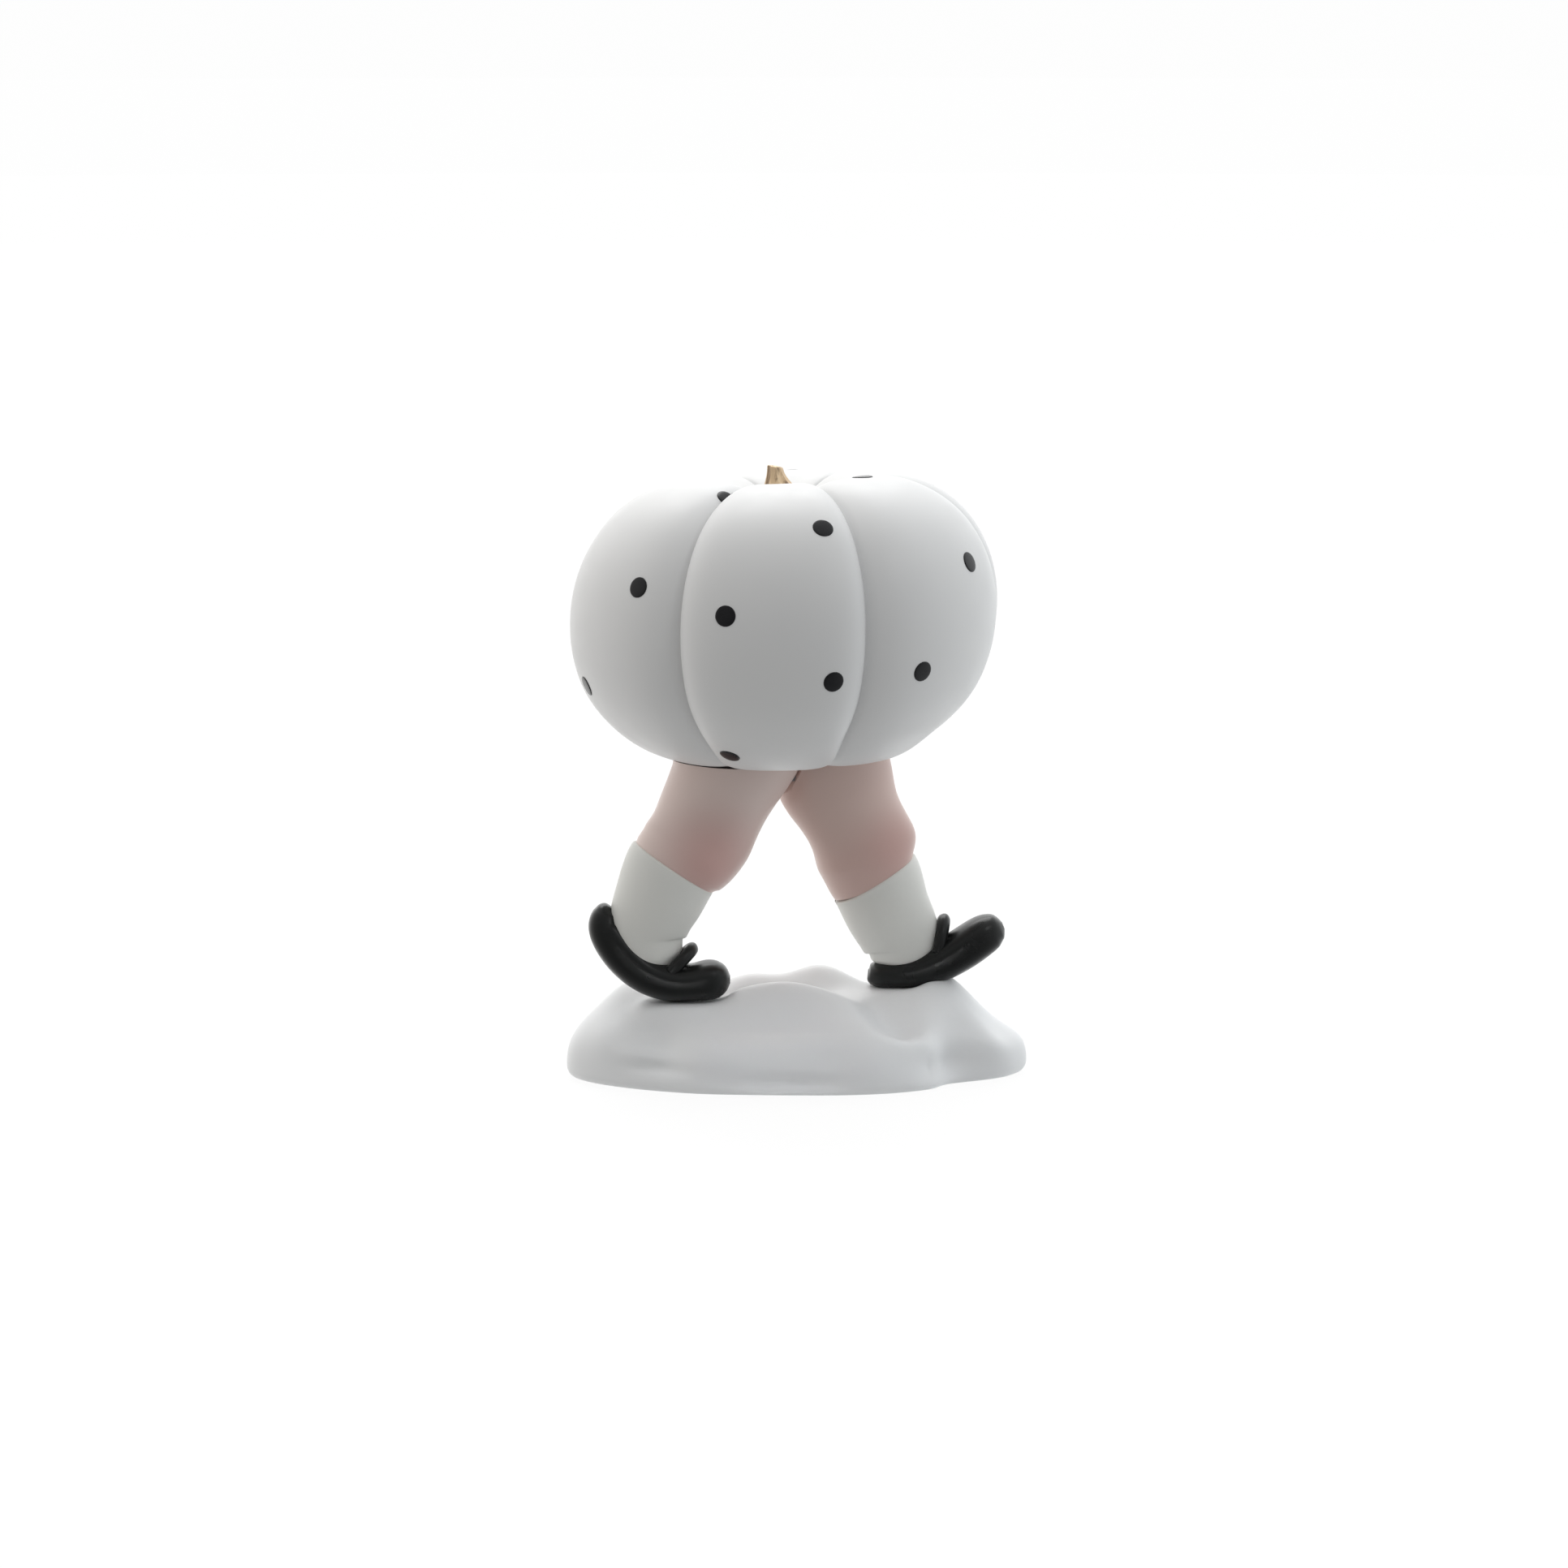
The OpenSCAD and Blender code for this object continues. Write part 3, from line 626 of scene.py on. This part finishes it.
TRAILING_Y = -11
LEADING_Y = 13
TRAILING_LEG = [
    (-13, -5, 118, 20.5, 20.5), (-18, -6, 108, 20, 20), (-22.3, -7, 99, 18.8, 18.8), (-27.5, -8, 89.5, 17.2, 17.2),
    (-32, -9, 82, 16.4, 16.6), (-35.8, -9.8, 76.4, 16.7, 16.8), (-38.4, -10.3, 73, 15.8, 15.8),
    (-39.8, -10.5, 70.9, 14.6, 14.6)]
LEADING_LEG = [
    (4.5, 6, 118, 20.5, 20.5), (8.3, 6.5, 108, 20, 20), (11.5, 7.5, 98, 18.8, 18.8), (15.3, 9, 88, 17.2, 17.2),
    (19.4, 10.5, 79, 16.4, 16.6), (22, 11.3, 72.4, 16.2, 16.6), (23.9, 11.8, 66.6, 15, 15.2),
    (25.2, 12, 63.8, 14.4, 14.4)]
TRAILING_SOCK = [
    (-39.8, -10.5, 71, 15.2, 15.2), (-41.2, -10.6, 68.7, 15.2, 15.2), (-44, -10.8, 62.4, 14.6, 14.4),
    (-47.1, -11, 55.2, 13.4, 12.4), (-48.6, -11, 48.5, 12.4, 9.8), (-47.2, -11, 42, 10.4, 8.2),
    (-46.2, -11, 38.5, 7, 6)]
LEADING_SOCK = [
    (25.2, 12, 63.9, 15.1, 15.1), (26.3, 12.1, 61.9, 15, 15), (29.2, 12.4, 54.2, 14.2, 13.8),
    (32.6, 12.8, 47.4, 13.4, 11.8), (34.6, 13, 42.2, 12.6, 9.4), (34.8, 13, 37.6, 10.6, 7.8),
    (34.8, 13, 35.6, 8.6, 6.4)]
CREASE_AT = np.array([-5.5, 0, 91])
CREASE_OUT = np.array([math.cos(math.radians(12)) * math.cos(math.radians(22)),
                       math.cos(math.radians(12)) * math.sin(math.radians(22)), -math.sin(math.radians(12))])


def cut(obj, at, out):
    """Cuts away what lies beyond a plane and closes the cut with a face."""
    work = bmesh.new()
    work.from_mesh(obj.data)
    geometry = work.verts[:] + work.edges[:] + work.faces[:]
    bmesh.ops.bisect_plane(work, geom=geometry, dist=1e-6, plane_co=Vector(at * MM), plane_no=Vector(out),
                           clear_outer=True)
    rim = [edge for edge in work.edges if edge.is_boundary]
    bmesh.ops.contextual_create(work, geom=rim)
    work.to_mesh(obj.data)
    work.free()


def raise_rim(leg, level):
    """Brings the rim of a leg's flat top up to just under the pumpkin, but not near the neck."""
    clearance, inset, neck_reach, ease = 0.2, 1.5, 16, 6
    work = bmesh.new()
    work.from_mesh(leg.data)
    top = max(work.faces, key=lambda f: (f.normal.z > 0.9) * f.calc_area())
    rim = list(top.verts)
    bmesh.ops.inset_individual(work, faces=[top], thickness=inset * MM, use_even_offset=True)
    for vert in rim:
        reach, floor = reach_and_floor(np.array([vert.co]) / MM)
        share = min(max((reach[0] - neck_reach) / ease, 0), 1)
        vert.co.z = (level + max(floor[0] - clearance - level, 0) * share) * MM
    work.to_mesh(leg.data)
    work.free()


def make_leg(name, stations, crease_out, bumps, material, node):
    """Smooth thigh and knee, flat where it meets the other thigh and under the pumpkin."""
    around = 96
    path = smooth(stations, 12)
    rings = rings_along(path, around)
    points = rings.reshape(-1, 3)
    middle = np.repeat(path[:, :3], around, axis=0)
    gap = (points - CREASE_AT) @ CREASE_OUT
    roll = 1 - 0.025 * np.exp(-(gap / 1.5) ** 2) - 0.015 * np.exp(-(gap / 4) ** 2)
    spokes = points - middle
    points = middle + spokes * roll[:, None]
    for at, size, rise in bumps:
        near = np.exp(-(np.linalg.norm(points - np.array(at), axis=1) / size) ** 2)
        points = points + (rise * near)[:, None] * spokes / np.linalg.norm(spokes, axis=1)[:, None]
    mesh = bpy.data.meshes.new(name)
    mesh.from_pydata((points * MM).tolist(), [], tube_faces(len(rings), around))
    leg = bpy.data.objects.new(name, mesh)
    bpy.context.collection.objects.link(leg)
    cut(leg, CREASE_AT, crease_out)
    hip = np.array([0, 0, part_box(node)[1][2] / MM])
    cut(leg, hip, np.array([0.0, 0.0, 1.0]))
    raise_rim(leg, hip[2])
    finish_piece(leg, material, "figure", "flesh_vinyl", node, keep=50)


def make_sock(name, stations, node):
    """Tube sock with a rounded lip at its top."""
    around = 96
    path = smooth(stations, 12)
    lip = []
    head = unit(path[0][:3] - path[1][:3])
    for k in range(7):
        a = math.radians(90 * k / 6)
        q = path[0].copy()
        q[:3] -= head * 0.9 * (1 - math.cos(a))
        q[3:] -= 0.9 * (1 - math.sin(a))
        lip.append(q)
    inner = path[0].copy()
    inner[3:] -= 2.4
    later = [i for i, q in enumerate(path) if (path[0][:3] - q[:3]) @ head > 1.2]
    ways = [-head] * (len(lip) + 1) + [directions(path)[i] for i in later]
    path = np.array([inner] + lip + [path[i] for i in later])
    points = rings_along(path, around, ways=ways).reshape(-1, 3)
    mesh_object(name, fit(points, node)(points), tube_faces(len(path), around), SOCK, "figure", "sock_white", node,
                keep=60)


TRAILING_KNEE = (-27, -25, 76)
LEADING_KNEE = (34, -2, 77)
# Where each leg bulges or draws in, as (place, size, rise)
TRAILING_BUMPS = [((-20, -12, 75), 8, 1.8), ((-8, -9, 90), 10, -1.4), ((-48.6, -9, 86), 6, -1.2),
                  ((-26, -26, 74), 9, 0.8)]
LEADING_BUMPS = [((38, 9, 80), 9, 1.9), ((38, 10, 72), 5, -1.2), ((4, 10, 79), 8, -2.0), ((30.5, 7, 101), 11, 1.0)]
make_leg("trailing_leg_skin", TRAILING_LEG, CREASE_OUT, TRAILING_BUMPS,
         make_leg_material("trailing_flesh", (0.80, 0.655, 0.61), (0.76, 0.61, 0.56),
                           [(TRAILING_KNEE, 2, 24, 0.75), ((-30, -20, 68), 2, 14, 0.3)]), "trailing_leg")
# The leading leg's flesh is a darker copy of the trailing leg's flesh: painted shade where the pumpkin shadows it.
make_leg("leading_leg_skin", LEADING_LEG, -CREASE_OUT, LEADING_BUMPS,
         make_leg_material("leading_flesh_painted_shade", (0.72, 0.545, 0.495), (0.68, 0.50, 0.45),
                           [(LEADING_KNEE, 2, 18, 0.5), ((24, -4, 70), 4, 22, 0.3)]), "leading_leg")
make_sock("trailing_sock_knit", TRAILING_SOCK, "trailing_sock")
make_sock("leading_sock_knit", LEADING_SOCK, "leading_sock")


# ---- shoes ----

def foot(stations, y):
    return [(x, y, z, thick, wide) for x, z, thick, wide in stations]


TRAILING_SHOE = foot([
    (-60.2, 58.4, 1.4, 2.2), (-61.3, 56.8, 3.9, 5.3), (-62, 52.6, 5.4, 7.5), (-59.5, 47.4, 6.2, 8.8),
    (-54.6, 41.4, 6.5, 9.4), (-48.3, 36.6, 6.4, 9.7), (-41.2, 34, 6.1, 9.8), (-34.5, 33.8, 5.7, 9.5),
    (-28.4, 34.5, 6.3, 8.8), (-25, 34.6, 5.5, 7.4), (-22.8, 34.6, 3.7, 4.8), (-21.6, 34.6, 1.2, 1.6)], TRAILING_Y)
LEADING_SHOE = foot([
    (23.2, 32.4, 1.4, 2.2), (24.2, 32.3, 3.2, 5.2), (27.2, 32.4, 4.2, 7.8), (33, 32.8, 4.6, 9.2),
    (40, 33.9, 5.4, 9.8), (47, 36.5, 6.2, 10), (54, 40.6, 6.6, 9.8), (60.2, 44.8, 6.4, 8.8),
    (63.8, 46.8, 5.6, 7.2), (66.2, 47.8, 3.8, 4.8), (67.4, 48.3, 1.2, 1.6)], LEADING_Y)


def make_shoe_piece(name, stations, node):
    around = 96
    path = smooth(stations, 12)
    points = rings_along(path, around, 2.7).reshape(-1, 3)
    mesh_object(name, fit(points, node)(points), tube_faces(len(path), around), SHOE, "figure", "shoe_black", node,
                keep=60)


def make_strap(name, root, tip, half, y, node):
    """Round band over the instep, from one side of the collar to the other."""
    around = 32
    band = 2.0
    path = []
    for step in range(49):
        a = math.radians(180 * step / 48)
        s = math.sin(a)
        x = root[0] + (tip[0] - root[0]) * s
        z = root[1] + (tip[1] - root[1]) * s
        path.append((x, y - half * math.cos(a), z, band, band))
    path = np.array(path)
    points = rings_along(path, around, 2.4, across=(0.4, 0, -1)).reshape(-1, 3)
    mesh_object(name, points, tube_faces(len(path), around), SHOE, "figure", "shoe_black", node, keep=60)


make_shoe_piece("trailing_shoe_upper", TRAILING_SHOE, "trailing_shoe")
make_shoe_piece("leading_shoe_upper", LEADING_SHOE, "leading_shoe")
make_strap("trailing_strap_band", (-40.7, 38.0), (-34.0, 44.6), 6.4, TRAILING_Y, "trailing_strap")
make_strap("leading_strap_band", (46.0, 40.5), (48.0, 50.2), 6.4, LEADING_Y, "leading_strap")


# ---- snow mound ----

BASE_L = 150
BASE_W = 75
BASE_C = np.array([0.0, 1.0])
REACH = np.array([0.94, 1.10, 1.04, 1.00, 0.98, 1.00, 1.02, 1.04, 1.02, 0.98, 1.00, 1.04,
                  1.00, 0.96, 0.96, 0.97, 0.95, 0.94, 0.94, 0.95, 0.96, 0.94, 0.88, 0.78])
EDGE_Z = 4.05
PAD_PROUD = 0.5
FOOT_SHARE = 0.965  # of the footprint's reach, where the rim meets the shelf


def footprint(angle):
    """Reach of the footprint from its centre at an angle in degrees from +X."""
    ellipse = 1 / np.hypot(np.cos(np.radians(angle)) / (BASE_L / 2), np.sin(np.radians(angle)) / (BASE_W / 2))
    x = angle % 360 / 15
    i = np.floor(x).astype(int)
    t = x - i
    a, b, c, d = [REACH[(i + step) % 24] for step in (23, 0, 1, 2)]
    return ellipse * bend(a, b, c, d, t)


def bell(x, y, cx, cy, sx, sy):
    return np.exp(-((x - cx) / sx) ** 2 - ((y - cy) / sy) ** 2)


def snow(x, y):
    """Height of the snow away from its edges."""
    return (26.5 + 8.0 * bell(x, y, -5, -13, 22, 8) + 8.5 * bell(x, y, 8, 21, 13, 9)
            + 5.5 * bell(x, y, -16, 21, 12, 8) + 9.0 * bell(x, y, 45, 14, 14, 18)
            + 7.0 * bell(x, y, -52, 12, 16, 14) + 3.0 * bell(x, y, -40, -14, 18, 10)
            + 2.5 * bell(x, y, -57, 4, 7, 10) - 11.0 * bell(x, y, -12, 3, 14, 8)
            - 10.0 * bell(x, y, 32, -15, 10, 10) - 8.0 * bell(x, y, 67, 6, 9, 16))


# Swells and hollows in the mound's face as [x, z, width, height, depth outwards], on the viewer's side
FRONT_RELIEF = [
    (-44, 17, 7, 7, -3.4), (-62, 17, 6, 8, 1.4), (-45, 8, 9, 2.5, -2.2), (-52, 12, 6, 3, 1.0),
    (-10, 22, 22, 4, -2.4), (-2, 4.5, 16, 3, -2.6), (36, 20, 9, 5, 1.6), (24, 10, 8, 8, 1.8), (48, 8, 8, 5, -3.6),
    (52, 20, 8, 6, -1.4), (65, 12, 6, 6, 1.4), (-24, 13, 10, 5, 1.4), (8, 13, 9, 4, -0.8)]
# The same for the far side
BACK_RELIEF = [
    (-40, 16, 9, 9, -2.4), (-58, 12, 7, 8, 1.0), (-14, 10, 12, 5, -1.6), (14, 17, 9, 10, 1.2), (36, 12, 9, 8, -2.6),
    (58, 16, 8, 9, 0.8), (-25, 24, 8, 5, 0.8)]


def relief(points, outward):
    """How far each point of the mound is pushed along its outward direction."""
    push = np.zeros(len(points))
    for spots, side in ((FRONT_RELIEF, -1), (BACK_RELIEF, 1)):
        facing = np.clip(side * outward[:, 1] * 1.4, 0, 1)
        for x, z, wide, tall, depth in spots:
            push += depth * facing * bell(points[:, 0], points[:, 2], x, z, wide, tall)
    return push * np.clip((points[:, 2] - PAD_PROUD) / 2.5, 0, 1)


TREADS = [(-36.5, TRAILING_Y, 27.8, 15, 11), (33.5, LEADING_Y, 28.6, 11, 12)]


def mound_z(x, y, share):
    """Snow that falls away to the rim, with a flat tread under each shoe."""
    z = EDGE_Z + (snow(x, y) - EDGE_Z) * np.maximum(1 - share ** 4, 0) ** 0.4
    for tx, ty, tz, half_l, half_w in TREADS:
        flat = np.exp(-np.hypot((x - tx) / half_l, (y - ty) / half_w) ** 6)
        z = z * (1 - flat) + tz * flat
    return z


def make_mound():
    """Hollow mound: snow outside, and inside a ledge for the plate and two tiers of ceiling."""
    around = 288
    rows = 110
    angle = np.arange(around) * 360 / around
    reach = footprint(angle)
    across = np.stack([np.cos(np.radians(angle)), np.sin(np.radians(angle))], axis=-1)

    def level(r, z):
        flat = BASE_C + r[:, None] * across
        return np.column_stack([flat, z if np.ndim(z) else np.full(around, z)])

    rings = []
    for inset, z in ((6, 9), (6, 3), (4, 3), (4, PAD_PROUD)):
        rings.append(level(reach * FOOT_SHARE - inset, z))
    inside = len(rings)
    for j in range(9):
        t = math.radians(90 * j / 9)
        rings.append(level(reach * (FOOT_SHARE + (1 - FOOT_SHARE) * math.sin(t)),
                           PAD_PROUD + (EDGE_Z - PAD_PROUD) * (1 - math.cos(t))))
    for j in range(rows):
        share = math.cos(math.radians(90 * j / rows))
        flat = BASE_C + (reach * share)[:, None] * across
        rings.append(np.column_stack([flat, mound_z(flat[:, 0], flat[:, 1], share)]))
    rings = np.array(rings)
    along = np.roll(rings, -1, axis=1) - np.roll(rings, 1, axis=1)
    outward = np.cross(along, np.gradient(rings, axis=0))
    outward /= np.maximum(np.linalg.norm(outward, axis=2, keepdims=True), 1e-9)
    outer = rings[inside:].reshape(-1, 3)
    out = outward[inside:].reshape(-1, 3)
    rings[inside:] = (outer + relief(outer, out)[:, None] * out).reshape(-1, around, 3)
    points = rings.reshape(-1, 3)
    mesh_object("snow_mound", fit(points, "base_shell")(points), tube_faces(len(rings), around), SNOW, "figure",
                "base_white", "base_shell", keep=50)


make_mound()


# ---- carried-over CAD nodes ----

def dress_frame():
    """Gives every CAD node that is still shown its own procedural finish, by its material slot."""
    for name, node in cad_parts.items():
        for place in node.material_slots:
            for slot, material in CARRIED.items():
                if place.material and place.material.name.split(".")[0] == slot:
                    place.material = material


dress_frame()
